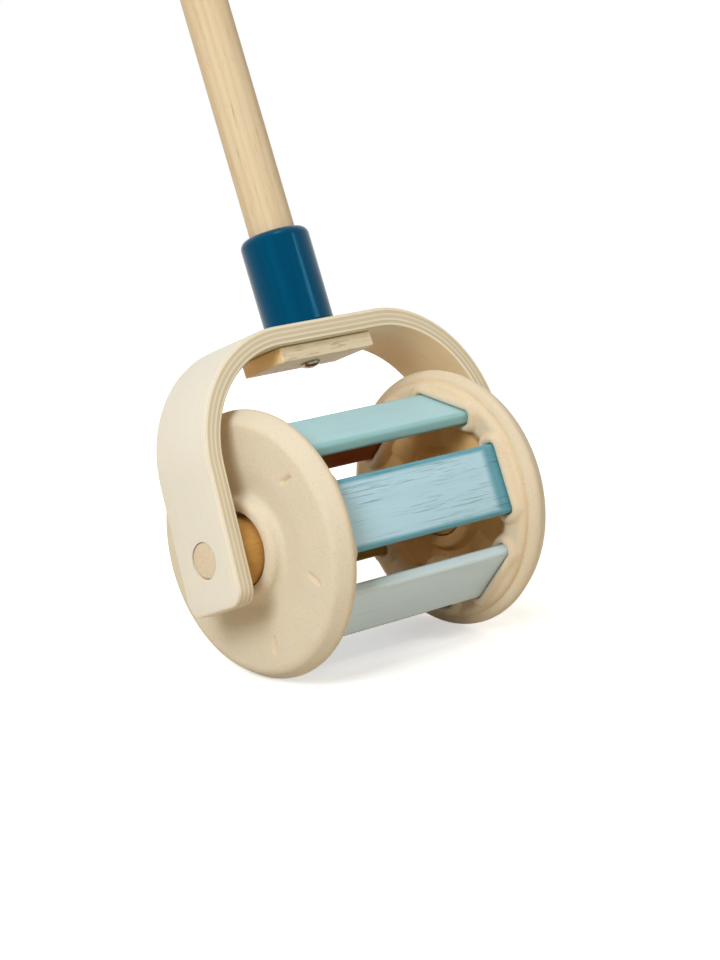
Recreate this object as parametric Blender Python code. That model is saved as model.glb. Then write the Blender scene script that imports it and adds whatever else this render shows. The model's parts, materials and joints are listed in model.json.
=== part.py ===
"""Toddler push toy: a slatted wooden roller that turns in a bent plywood fork on a long stick.

Metres, +Z up. The roller stands on the floor at Z = 0 and the stick leans back towards +Y, as it
is pushed. Pieces are modelled in the toy's own frame, with its origin at the middle of the
roller: X runs along its axis, Y up the stick and Z out of the fork's front. One empty leans it.
"""
from math import atan2, cos, pi, radians, sin, sqrt, tan

import bmesh
import bpy
from mathutils import Matrix, Vector

# Fits
FIT_GAP = 0.0003
RUNNING_GAP = 0.0005

# Stance: how far the stick leans back from upright
LEAN = radians(24.0)

# Roller
DISC_RADIUS = 0.0565
DISC_THICKNESS = 0.0155
DISC_SPACING = 0.093
RIM_ROUND = 0.0046
RIM_SLOPE = 28.0
FACE_RADIUS_MARGIN = 0.0065
STEP_RADIUS_MARGIN = 0.0042
STEP_ROUND = 0.0036
STEP_HEIGHT = 0.0042
LIP_WIDTH = 0.0055
RECESS_DEPTH = 0.0055
HUB_BOSS_WALL = 0.0053
HUB_BOSS_HEIGHT = 0.0045
INNER_BOSS_WALL = 0.0055
INNER_BOSS_RISE = 0.0040
SLAT_COUNT = 6
SLAT_RIM_MARGIN = 0.0118
SLAT_THICKNESS = 0.0056
SLAT_GAP = 0.0127
SLAT_EDGE_ROUND = 0.0018
SLOT_DEPTH = 0.0080

# Loose ball
BALL_RADIUS = 0.0077
BALL_END_GAP = 0.0006

# Axle, which lies a little below the roller's own axis because the fork rests on it
AXLE_RADIUS = 0.0075
AXLE_RECESS = 0.0002
AXLE_DROP = 0.0010
COLLAR_WALL = 0.0067
EDGE_BREAK = 0.0005

# Fork: its legs splay out a little towards their feet
PLY_THICKNESS = 0.0084
LEG_SPLAY = radians(3.5)
STRIP_WIDTH = 0.0350
BRIDGE_FLAT = 0.0560
BOSS_TO_LEG_GAP = 0.0082
LEG_TAIL = 0.0230
LEG_CORNER = 0.0075
PLY_EDGE_ROUND = 0.0010

# Clamp under the bridge
RIM_TO_SCREW_GAP = 0.0114
BLOCK_THICKNESS = 0.0065
BLOCK_END_MARGIN = 0.0020
BLOCK_SIDE_MARGIN = 0.0040
SCREW_RADIUS = 0.0020
SCREW_HEAD_RADIUS = 0.0042
SCREW_HEAD_HEIGHT = 0.0023
DRIVE_SLOT_LENGTH = 0.0042
DRIVE_SLOT_WIDTH = 0.0009
DRIVE_SLOT_DEPTH = 0.0011
INSERT_WALL = 0.0017
INSERT_LENGTH = 0.0120

# Stick, neck sleeve and knob
STICK_RADIUS = 0.0100
STICK_LENGTH = 0.4500
SLEEVE_WALL = 0.0048
SLEEVE_HEIGHT = 0.0420
SLEEVE_TOP_ROUND = 0.0042
KNOB_RADIUS = 0.0200
KNOB_TOP_WALL = 0.0164
KNOB_SEAT_LIP = 0.0012

# Facets round a turned piece
DISC_SIDES = 60
ROUND_SIDES = 40
SMALL_SIDES = 24

# Positions that follow from the sizes above, in the toy's own frame
INNER_FACE = DISC_SPACING / 2
OUTER_FACE = INNER_FACE + DISC_THICKNESS
BOSS_FACE = OUTER_FACE + HUB_BOSS_HEIGHT
LEG_INSIDE = BOSS_FACE + BOSS_TO_LEG_GAP
LEG_OUTSIDE = LEG_INSIDE + PLY_THICKNESS
COLLAR_RADIUS = AXLE_RADIUS + FIT_GAP + COLLAR_WALL
HUB_BORE = COLLAR_RADIUS + AXLE_DROP + RUNNING_GAP
HUB_BOSS_RADIUS = HUB_BORE + HUB_BOSS_WALL
INNER_BOSS_RADIUS = HUB_BORE + INNER_BOSS_WALL
RECESS_FLOOR = INNER_FACE + RECESS_DEPTH
INNER_BOSS_FACE = RECESS_FLOOR - INNER_BOSS_RISE

SLAT_OUTSIDE = DISC_RADIUS - SLAT_RIM_MARGIN
SLAT_INSIDE = SLAT_OUTSIDE - SLAT_THICKNESS
SLAT_STEP = 2 * pi / SLAT_COUNT
SLAT_WIDTH = (2 * SLAT_INSIDE * sin(SLAT_STEP / 2) - SLAT_GAP) / cos(SLAT_STEP / 2)
SLAT_LENGTH = DISC_SPACING + 2 * SLOT_DEPTH
SLAT_ROUND = min(SLAT_EDGE_ROUND, SLAT_THICKNESS / 3)

LIP_INSIDE = SLAT_INSIDE - min(LIP_WIDTH, (SLAT_INSIDE - INNER_BOSS_RADIUS) / 3)

# The ball clears the slats all the way round and lies close to the lip of the right disc
BALL_ORBIT = SLAT_INSIDE - FIT_GAP - BALL_RADIUS
BALL_OFFSET = INNER_FACE - BALL_END_GAP - BALL_RADIUS

SCREW_TOP = DISC_RADIUS + RIM_TO_SCREW_GAP
BLOCK_UNDER = SCREW_TOP + SCREW_HEAD_HEIGHT + FIT_GAP
BRIDGE_UNDER = BLOCK_UNDER + BLOCK_THICKNESS + FIT_GAP
BRIDGE_TOP = BRIDGE_UNDER + PLY_THICKNESS
BEND_RADIUS = LEG_OUTSIDE - BRIDGE_FLAT / 2
BEND_CENTRE = BRIDGE_TOP - BEND_RADIUS
INSERT_RADIUS = SCREW_RADIUS + FIT_GAP + INSERT_WALL

STICK_FOOT = BRIDGE_TOP + FIT_GAP
STICK_TOP = STICK_FOOT + STICK_LENGTH
SLEEVE_RADIUS = STICK_RADIUS + FIT_GAP + SLEEVE_WALL
KNOB_BORE = STICK_RADIUS + FIT_GAP
KNOB_SEAT_RADIUS = KNOB_BORE + KNOB_SEAT_LIP
KNOB_SEAT_DROP = sqrt(KNOB_RADIUS ** 2 - KNOB_SEAT_RADIUS ** 2)
KNOB_CENTRE = STICK_TOP + FIT_GAP + KNOB_TOP_WALL - KNOB_RADIUS

# The roller's place on the floor puts the world origin under the middle of the whole toy
AXLE_HEIGHT = DISC_RADIUS
KNOB_REACH = KNOB_CENTRE * sin(LEAN) + KNOB_RADIUS
AXLE_Y = -(KNOB_REACH - DISC_RADIUS) / 2


def clear_scene():
    for old in list(bpy.data.objects):
        bpy.data.objects.remove(old, do_unlink=True)


def material(name, colour, roughness, metallic=0.0):
    made = bpy.data.materials.new(name)
    made.use_nodes = True
    shader = made.node_tree.nodes["Principled BSDF"]
    shader.inputs["Base Color"].default_value = (*colour, 1.0)
    shader.inputs["Roughness"].default_value = roughness
    shader.inputs["Metallic"].default_value = metallic
    return made


def empty(name, parent=None):
    made = bpy.data.objects.new(name, None)
    bpy.context.collection.objects.link(made)
    made.parent = parent
    return made


def piece(name, points, faces, parent, finish=None, smooth=radians(35)):
    """One closed mesh object, its faces turned outward."""
    mesh = bpy.data.meshes.new(name)
    mesh.from_pydata(points, [], faces)
    shape = bmesh.new()
    shape.from_mesh(mesh)
    bmesh.ops.recalc_face_normals(shape, faces=shape.faces)
    shape.to_mesh(mesh)
    shape.free()
    mesh.shade_smooth()
    mesh.set_sharp_from_angle(angle=smooth)
    made = bpy.data.objects.new(name, mesh)
    bpy.context.collection.objects.link(made)
    made.parent = parent
    if finish:
        mesh.materials.append(finish)
    return made


def arc(centre_r, centre_h, radius_r, radius_h, start, stop, steps):
    """Points of a quarter or half ellipse in a (radius, height) profile, angles in degrees."""
    points = []
    for step in range(steps + 1):
        angle = radians(start + (stop - start) * step / steps)
        points.append((centre_r + radius_r * cos(angle), centre_h + radius_h * sin(angle)))
    return points


def turned(name, profile, sides, parent, finish=None):
    """A profile of (radius, height) points turned round Z, closed on itself or at the axis."""
    points = []
    rings = []
    for radius, height in profile:
        if radius < 1e-9:
            rings.append([len(points)])
            points.append((0.0, 0.0, height))
            continue
        rings.append(list(range(len(points), len(points) + sides)))
        for side in range(sides):
            angle = 2 * pi * side / sides
            points.append((radius * cos(angle), radius * sin(angle), height))
    on_axis = len(rings[0]) == 1
    pairs = list(zip(rings, rings[1:]))
    if not on_axis:
        pairs.append((rings[-1], rings[0]))
    faces = []
    for low, high in pairs:
        for side in range(sides):
            after = (side + 1) % sides
            if len(low) == 1:
                faces.append((low[0], high[side], high[after]))
            elif len(high) == 1:
                faces.append((low[side], low[after], high[0]))
            else:
                faces.append((low[side], low[after], high[after], high[side]))
    return piece(name, points, faces, parent, finish)


def rounded_outline(width, height, radius, steps=3):
    """Corner-rounded rectangle round the origin, as (across, up) points."""
    outline = []
    for quarter, (right, up) in enumerate(((1, 1), (-1, 1), (-1, -1), (1, -1))):
        for step in range(steps + 1):
            angle = (quarter + step / steps) * pi / 2
            outline.append((right * (width / 2 - radius) + radius * cos(angle),
                            up * (height / 2 - radius) + radius * sin(angle)))
    return outline


def prism(outline, length, place=None):
    """Points and faces of an outline in Y and Z drawn out along X, moved by an optional matrix."""
    count = len(outline)
    points = []
    for end in (-length / 2, length / 2):
        for across, up in outline:
            points.append((end, across, up))
    if place is not None:
        points = [tuple(place @ Vector(point)) for point in points]
    faces = [tuple(range(count)), tuple(range(count, 2 * count))]
    for side in range(count):
        after = (side + 1) % count
        faces.append((side, after, count + after, count + side))
    return points, faces


def cut(target, cutter):
    """Take a hidden cutter's shape out of a piece."""
    step = target.modifiers.new("cut_" + cutter.name, "BOOLEAN")
    step.operation = "DIFFERENCE"
    step.solver = "EXACT"
    step.object = cutter


def hidden(cutter):
    cutter.hide_render = True
    cutter.display_type = "WIRE"
    return cutter


def point_along_x(made, side=1, drop=0.0):
    """Lay a turned piece's axis along the roller's, facing the right side or the left."""
    made.rotation_euler = (0.0, side * pi / 2, 0.0)
    made.location = (0.0, -drop, 0.0)
    return made


def point_along_stick(made, offset=0.0):
    """Stand a turned piece's axis along the stick."""
    made.rotation_euler = (-pi / 2, 0.0, 0.0)
    made.location = (0.0, offset, 0.0)
    return made


def slat_place(index):
    """Turn from the front slat to slat number index, about the axle, with its flat facing out."""
    turn = Matrix.Rotation(-index * SLAT_STEP, 4, "X")
    return turn @ Matrix.Translation((0.0, 0.0, (SLAT_OUTSIDE + SLAT_INSIDE) / 2))


def disc_profile():
    """Half section of a roller disc, heights measured out from the middle of the axle.

    The outer face turns over into a sloping band. The slots open in a raised step on the inside,
    which leaves a rounded band round the rim.
    """
    step_height = min(STEP_HEIGHT, DISC_THICKNESS / 3)
    band_face = INNER_FACE + step_height
    rim_round = min(RIM_ROUND, (OUTER_FACE - band_face) / 2)
    face_edge = DISC_RADIUS - FACE_RADIUS_MARGIN
    step_edge = DISC_RADIUS - STEP_RADIUS_MARGIN
    step_round = min(STEP_ROUND, step_height)
    profile = [(HUB_BORE, INNER_BOSS_FACE), (HUB_BORE, BOSS_FACE)]
    profile += arc(HUB_BOSS_RADIUS - HUB_BOSS_HEIGHT, OUTER_FACE, HUB_BOSS_HEIGHT, HUB_BOSS_HEIGHT,
                   90, 20, 3)
    profile += [(HUB_BOSS_RADIUS + HUB_BOSS_HEIGHT / 2, OUTER_FACE)]
    profile += arc(face_edge, OUTER_FACE - rim_round, rim_round, rim_round, 90, RIM_SLOPE, 4)
    profile += arc(step_edge, band_face + step_round, STEP_RADIUS_MARGIN, step_round, RIM_SLOPE, 0, 1)
    profile += arc(step_edge, band_face + step_round, STEP_RADIUS_MARGIN, step_round, 0, -90, 4)[1:]
    profile += arc(step_edge - step_round, INNER_FACE + step_round, step_round, step_round, 0, -90, 4)
    profile += [(LIP_INSIDE, INNER_FACE)]
    profile += [((LIP_INSIDE + INNER_BOSS_RADIUS) / 2 + EDGE_BREAK, RECESS_FLOOR)]
    profile += [(INNER_BOSS_RADIUS + EDGE_BREAK, RECESS_FLOOR)]
    profile += [(INNER_BOSS_RADIUS - EDGE_BREAK, INNER_BOSS_FACE)]
    return profile


def make_roller(drum):
    """Two moulded discs joined by six slats that end in blind slots."""
    finish = material("pressed_wood", (0.78, 0.64, 0.47), 0.55)
    outline = rounded_outline(SLAT_WIDTH + 2 * FIT_GAP, SLAT_THICKNESS + 2 * FIT_GAP,
                              SLAT_ROUND + FIT_GAP)
    points = []
    faces = []
    for index in range(SLAT_COUNT):
        more, sides = prism(outline, SLAT_LENGTH + 2 * FIT_GAP, slat_place(index))
        faces += [tuple(corner + len(points) for corner in side) for side in sides]
        points += more
    slots = hidden(piece("slot_cutter", points, faces, drum))
    for name, side in (("left_disc", -1), ("right_disc", 1)):
        disc = turned(name, disc_profile(), DISC_SIDES, drum, finish)
        point_along_x(disc, side)
        cut(disc, slots)


def make_slats(drum):
    """Painted slats, named by colour, counted from the front one up over the roller."""
    colours = {
        "slat_sky_blue": (0.38, 0.58, 0.66),
        "slat_teal": (0.40, 0.62, 0.63),
        "slat_rust": (0.33, 0.11, 0.04),
        "slat_ochre": (0.52, 0.29, 0.06),
        "slat_deep_blue": (0.01, 0.08, 0.17),
        "slat_grey": (0.44, 0.47, 0.42),
    }
    outline = rounded_outline(SLAT_WIDTH, SLAT_THICKNESS, SLAT_ROUND)
    names = list(colours)
    for index in range(SLAT_COUNT):
        lap, place = divmod(index, len(names))
        colour = colours[names[place]]
        name = names[place] if lap == 0 else f"{names[place]}_{lap + 1}"
        points, faces = prism(outline, SLAT_LENGTH)
        slat = piece(name, points, faces, drum, material(name + "_paint", colour, 0.5))
        slat.matrix_local = slat_place(index)


def make_ball(carrier):
    """The loose ball, low in the roller near the right disc."""
    steps = SMALL_SIDES // 2
    profile = [(0.0 if step in (0, steps) else BALL_RADIUS * sin(pi * step / steps),
                -BALL_RADIUS * cos(pi * step / steps)) for step in range(steps + 1)]
    wood = material("ball_wood", (0.7, 0.5, 0.3), 0.5)
    ball = turned("rattle_ball", profile, SMALL_SIDES, carrier, wood)
    ball.location = (BALL_OFFSET, -BALL_ORBIT, 0.0)


def leg_place(radius, height):
    """How far out a layer of the strip stands at a height of the leg, from its radius in the bend."""
    return BRIDGE_FLAT / 2 + radius / cos(LEG_SPLAY) + (BEND_CENTRE - height) * tan(LEG_SPLAY)


def make_axle(toy):
    """A dowel through both legs, with a collar on each side that a disc turns on."""
    wood = material("axle_wood", (0.66, 0.47, 0.31), 0.55)
    half = leg_place(BEND_RADIUS, AXLE_RADIUS - AXLE_DROP) - AXLE_RECESS
    profile = [(0.0, -half), (AXLE_RADIUS - EDGE_BREAK, -half), (AXLE_RADIUS, -half + EDGE_BREAK),
               (AXLE_RADIUS, half - EDGE_BREAK), (AXLE_RADIUS - EDGE_BREAK, half), (0.0, half)]
    point_along_x(turned("axle_dowel", profile, ROUND_SIDES, toy, wood), 1, AXLE_DROP)
    bore = AXLE_RADIUS + FIT_GAP
    start = INNER_BOSS_FACE
    stop = leg_place(BEND_RADIUS - PLY_THICKNESS, COLLAR_RADIUS - AXLE_DROP) - FIT_GAP
    profile = [(bore, start), (bore, stop), (COLLAR_RADIUS - EDGE_BREAK, stop),
               (COLLAR_RADIUS, stop - EDGE_BREAK), (COLLAR_RADIUS, start + EDGE_BREAK),
               (COLLAR_RADIUS - EDGE_BREAK, start)]
    for name, side in (("left_collar", -1), ("right_collar", 1)):
        point_along_x(turned(name, profile, ROUND_SIDES, toy, wood), side, AXLE_DROP)


def make_screw_hole(toy):
    """Cutter for the screw's clearance hole through the clamp block and the bridge."""
    bore = SCREW_RADIUS + FIT_GAP
    low = BLOCK_UNDER - BLOCK_THICKNESS
    high = BRIDGE_TOP + PLY_THICKNESS
    profile = [(0.0, low), (bore, low), (bore, high), (0.0, high)]
    return hidden(point_along_stick(turned("screw_hole_cutter", profile, SMALL_SIDES, toy)))


def fork_stations(corner_steps=5, bend_steps=12):
    """Left half of the bent strip as (x, y, outward x, outward y, half width), foot to bridge."""
    bend = BEND_RADIUS - PLY_THICKNESS / 2
    corner = min(LEG_CORNER, STRIP_WIDTH / 2)
    stations = []
    for step in range(corner_steps + 1):
        angle = step / corner_steps * pi / 2
        height = -LEG_TAIL + corner * (1 - cos(angle)) * cos(LEG_SPLAY)
        stations.append((-leg_place(bend, height), height, -cos(LEG_SPLAY), sin(LEG_SPLAY),
                         STRIP_WIDTH / 2 - corner * (1 - sin(angle))))
    for step in range(bend_steps + 1):
        angle = LEG_SPLAY + step / bend_steps * (pi / 2 - LEG_SPLAY)
        stations.append((-BRIDGE_FLAT / 2 - bend * cos(angle), BEND_CENTRE + bend * sin(angle),
                         -cos(angle), sin(angle), STRIP_WIDTH / 2))
    return stations


def make_fork(toy, screw_hole):
    """Bent plywood strip, bored for the axle in both legs and for the screw in the bridge."""
    left = fork_stations()
    right = [(-x, y, -out_x, out_y, half) for x, y, out_x, out_y, half in reversed(left)]
    points = []
    rings = []
    for x, y, out_x, out_y, half in left + right:
        section = rounded_outline(PLY_THICKNESS, 2 * half, PLY_EDGE_ROUND, 2)
        rings.append(range(len(points), len(points) + len(section)))
        points += [(x + out_x * out, y + out_y * out, across) for out, across in section]
    faces = [tuple(rings[0]), tuple(rings[-1])]
    for low, high in zip(rings, rings[1:]):
        for side in range(len(low)):
            after = (side + 1) % len(low)
            faces.append((low[side], low[after], high[after], high[side]))
    fork = piece("plywood_fork", points, faces, toy, material("birch_ply", (0.82, 0.74, 0.58), 0.5))
    reach = leg_place(BEND_RADIUS, -LEG_TAIL) + PLY_THICKNESS
    bore = AXLE_RADIUS + FIT_GAP
    profile = [(0.0, -reach), (bore, -reach), (bore, reach), (0.0, reach)]
    hole = turned("axle_hole_cutter", profile, ROUND_SIDES, toy)
    cut(fork, hidden(point_along_x(hole, 1, AXLE_DROP)))
    cut(fork, screw_hole)


def make_clamp(toy, screw_hole):
    """Wooden block, its screw and the threaded insert that the screw draws the stick down by."""
    outline = rounded_outline(BLOCK_THICKNESS, STRIP_WIDTH - 2 * BLOCK_SIDE_MARGIN, EDGE_BREAK, 1)
    points, faces = prism(outline, BRIDGE_FLAT - 2 * BLOCK_END_MARGIN)
    block = piece("clamp_block", points, faces, toy, material("block_wood", (0.72, 0.56, 0.36), 0.6))
    block.location = (0.0, BLOCK_UNDER + BLOCK_THICKNESS / 2, 0.0)
    cut(block, screw_hole)

    steel = material("nickel_steel", (0.62, 0.60, 0.56), 0.3, 1.0)
    head_top = SCREW_TOP + SCREW_HEAD_HEIGHT
    tip = STICK_FOOT + INSERT_LENGTH
    profile = [(0.0, SCREW_TOP)] + arc(0.0, head_top, SCREW_HEAD_RADIUS, SCREW_HEAD_HEIGHT, -75, 0, 5)
    profile += [(SCREW_RADIUS, head_top), (SCREW_RADIUS, tip - SCREW_RADIUS / 2),
                (SCREW_RADIUS / 2, tip), (0.0, tip)]
    screw = point_along_stick(turned("clamp_screw", profile, SMALL_SIDES, toy, steel))
    for turn, name in ((0.0, "drive_slot_cutter_across"), (pi / 2, "drive_slot_cutter_along")):
        outline = rounded_outline(2 * DRIVE_SLOT_DEPTH, DRIVE_SLOT_WIDTH, DRIVE_SLOT_WIDTH / 4, 1)
        points, faces = prism(outline, DRIVE_SLOT_LENGTH)
        slot = hidden(piece(name, points, faces, toy))
        slot.rotation_euler = (0.0, turn, 0.0)
        slot.location = (0.0, SCREW_TOP, 0.0)
        cut(screw, slot)

    bore = SCREW_RADIUS + FIT_GAP
    low = STICK_FOOT + FIT_GAP
    high = STICK_FOOT + INSERT_LENGTH
    profile = [(bore, low), (bore, high), (INSERT_RADIUS, high), (INSERT_RADIUS, low)]
    brass = material("insert_brass", (0.70, 0.52, 0.22), 0.4, 1.0)
    point_along_stick(turned("threaded_insert", profile, SMALL_SIDES, toy, brass))


def make_stick(toy):
    """The stick with its insert pocket, the painted neck sleeve and the knob on top."""
    pocket = INSERT_RADIUS + FIT_GAP
    pocket_top = STICK_FOOT + INSERT_LENGTH + FIT_GAP
    profile = [(0.0, pocket_top), (pocket, pocket_top), (pocket, STICK_FOOT), (STICK_RADIUS, STICK_FOOT),
               (STICK_RADIUS, STICK_TOP - EDGE_BREAK), (STICK_RADIUS - EDGE_BREAK, STICK_TOP),
               (0.0, STICK_TOP)]
    wood = material("stick_wood", (0.74, 0.57, 0.37), 0.5)
    point_along_stick(turned("stick", profile, ROUND_SIDES, toy, wood))

    blue = material("deep_blue_paint", (0.0, 0.075, 0.18), 0.3)
    bore = STICK_RADIUS + FIT_GAP
    top = STICK_FOOT + SLEEVE_HEIGHT
    rounding = min(SLEEVE_TOP_ROUND, SLEEVE_WALL)
    profile = [(bore, STICK_FOOT), (bore, top)]
    profile += arc(SLEEVE_RADIUS - rounding, top - rounding, rounding, rounding, 90, 0, 5)
    profile += [(SLEEVE_RADIUS, STICK_FOOT)]
    point_along_stick(turned("neck_sleeve", profile, ROUND_SIDES, toy, blue))

    seat = -atan2(KNOB_SEAT_DROP, KNOB_SEAT_RADIUS) * 180 / pi
    ball = arc(0.0, KNOB_CENTRE, KNOB_RADIUS, KNOB_RADIUS, seat, 90, 14)
    bore_end = STICK_TOP + FIT_GAP
    profile = [(0.0, bore_end), (KNOB_BORE, bore_end), (KNOB_BORE, KNOB_CENTRE - KNOB_SEAT_DROP)]
    profile += ball[:-1] + [(0.0, KNOB_CENTRE + KNOB_RADIUS)]
    point_along_stick(turned("handle_knob", profile, ROUND_SIDES, toy, blue))


def main():
    clear_scene()
    toy = empty("toy_frame")
    toy.location = (0.0, AXLE_Y, AXLE_HEIGHT)
    toy.rotation_euler = (pi / 2 - LEAN, 0.0, 0.0)
    drum = empty("drum_axis", toy)
    ball_carrier = empty("ball_axis", toy)
    screw_hole = make_screw_hole(toy)
    make_fork(toy, screw_hole)
    make_clamp(toy, screw_hole)
    make_stick(toy)
    make_axle(toy)
    make_roller(drum)
    make_slats(drum)
    make_ball(ball_carrier)
    bpy.context.view_layer.update()


main()
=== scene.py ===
"""Looks of the toddler push toy: bent plywood, pressed-wood discs, painted slats and turned wood.

Pieces are shaped in the toy's own frame, with its origin at the middle of the roller: X runs along
its axis, Y up the stick and Z out of the fork's front. Metres throughout.
"""
import json
from math import asin, cos, degrees, pi, radians, sin, sqrt, tan

import bpy
import numpy as np
from bpy.props import FloatProperty, FloatVectorProperty, IntProperty, PointerProperty
from bpy.types import Operator, Panel, PropertyGroup
from mathutils import Matrix, Vector


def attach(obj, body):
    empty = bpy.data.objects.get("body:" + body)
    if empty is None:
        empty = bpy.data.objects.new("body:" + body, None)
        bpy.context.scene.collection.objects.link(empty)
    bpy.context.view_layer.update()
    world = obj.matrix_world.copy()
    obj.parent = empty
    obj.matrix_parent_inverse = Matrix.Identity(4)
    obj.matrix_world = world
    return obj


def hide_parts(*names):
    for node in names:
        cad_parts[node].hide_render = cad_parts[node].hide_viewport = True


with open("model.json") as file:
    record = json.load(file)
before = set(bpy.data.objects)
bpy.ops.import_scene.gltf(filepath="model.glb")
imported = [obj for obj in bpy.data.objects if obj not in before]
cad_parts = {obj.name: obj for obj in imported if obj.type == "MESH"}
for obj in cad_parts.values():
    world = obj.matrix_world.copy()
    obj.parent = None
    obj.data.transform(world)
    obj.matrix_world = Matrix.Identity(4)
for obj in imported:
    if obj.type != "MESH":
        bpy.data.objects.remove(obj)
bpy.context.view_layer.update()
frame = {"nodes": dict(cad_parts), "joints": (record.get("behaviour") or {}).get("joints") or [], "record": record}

bl_info = {
    "name": "Push Toy Looks",
    "version": (1, 0, 0),
    "blender": (4, 5, 0),
    "location": "View3D > Sidebar > Push Toy",
    "description": "Dresses the push toy's solids with finished pieces and sets its stage",
    "category": "Add Mesh",
}

PHOTO_HEIGHT = 960


def axes_frame(place, right, up, out):
    """Matrix of a frame with its origin at a place and its axes along three directions."""
    return Matrix.Translation(place) @ Matrix((right, up, out)).transposed().to_4x4()


def toy_frame():
    """Matrix from the toy's own frame to the world, read from the roller's joint and the grip."""
    roller = next(joint for joint in frame["joints"] if joint["name"] == "drum_spin")
    grip = next(mount for mount in frame["record"]["mounts"] if mount["name"] == "hand_grip")
    across = Vector(roller["axis"]).normalized()
    up = Vector(grip["axis"]).normalized()
    return axes_frame(roller["pos_m"], across, up, across.cross(up))


TOY = toy_frame()


def span(node):
    """Lowest and highest corner of a CAD node in the toy's own frame."""
    back = TOY.inverted()
    corners = np.array([back @ vertex.co for vertex in frame["nodes"][node].data.vertices])
    return corners.min(0), corners.max(0)


DISC_LOW, DISC_HIGH = span("right_disc")
DISC_RADIUS = DISC_HIGH[1]
INNER_FACE = float(DISC_LOW[0])
BOSS_FACE = float(DISC_HIGH[0])
SLAT_LOW, SLAT_HIGH = span("slat_sky_blue")
SLAT_OUTSIDE = SLAT_HIGH[2]
SLAT_INSIDE = SLAT_LOW[2]
SLAT_THICKNESS = SLAT_OUTSIDE - SLAT_INSIDE
SLAT_MIDDLE = (SLAT_OUTSIDE + SLAT_INSIDE) / 2
SLAT_WIDTH = SLAT_HIGH[1] - SLAT_LOW[1]
SLAT_END = SLAT_HIGH[0]
SLAT_COUNT = 6
SLAT_STEP = 2 * pi / SLAT_COUNT
FORK_LOW, FORK_HIGH = span("plywood_fork")
LEG_FOOT = FORK_LOW[1]
BRIDGE_TOP = FORK_HIGH[1]
STRIP_WIDTH = FORK_HIGH[2] - FORK_LOW[2]
BLOCK_LOW, BLOCK_HIGH = span("clamp_block")
SCREW_LOW, SCREW_HIGH = span("clamp_screw")
SLEEVE_LOW, SLEEVE_HIGH = span("neck_sleeve")
STICK_LOW, STICK_HIGH = span("stick")
KNOB_LOW, KNOB_HIGH = span("handle_knob")
AXLE_LOW, AXLE_HIGH = span("axle_dowel")
COLLAR_LOW, COLLAR_HIGH = span("right_collar")
BALL_LOW, BALL_HIGH = span("rattle_ball")
ORIGIN = (0.0, 0.0, 0.0)
FIT_GAP = 0.0003
BEND_STATIONS = 37
SQUARE = ((-1, -1), (1, -1), (1, 1), (-1, 1))
SHARP_ANGLE = radians(40)
LIT_PLACE = (0.0, 0.04, 0.0)
PLY_THICKNESS = BRIDGE_TOP - BLOCK_HIGH[1] - FIT_GAP
AXLE_RADIUS = (AXLE_HIGH[1] - AXLE_LOW[1]) / 2
AXLE_DROP = -(AXLE_HIGH[1] + AXLE_LOW[1]) / 2
AXLE_PLACE = (0.0, -AXLE_DROP, 0.0)
COLLAR_RADIUS = (COLLAR_HIGH[1] - COLLAR_LOW[1]) / 2
STICK_RADIUS = STICK_HIGH[0]
SLEEVE_RADIUS = SLEEVE_HIGH[0]
KNOB_RADIUS = KNOB_HIGH[0]
BALL_RADIUS = (BALL_HIGH[0] - BALL_LOW[0]) / 2


def number(name, description, default, **kind):
    return FloatProperty(name=name, description=description, default=default, **kind)


def length(name, description, default):
    return number(name, description, default, unit="LENGTH", precision=4)


def degrees_of(name, description, default):
    return number(name, description, radians(default), subtype="ANGLE")


def watts(name, description, default):
    return number(name, description, default, unit="POWER")


def vector(name, description, default, **kind):
    return FloatVectorProperty(name=name, description=description, default=default, size=3, **kind)


def tint(name, description, default):
    return vector(name, description, default, subtype="COLOR", min=0.0, max=1.0)


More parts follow.
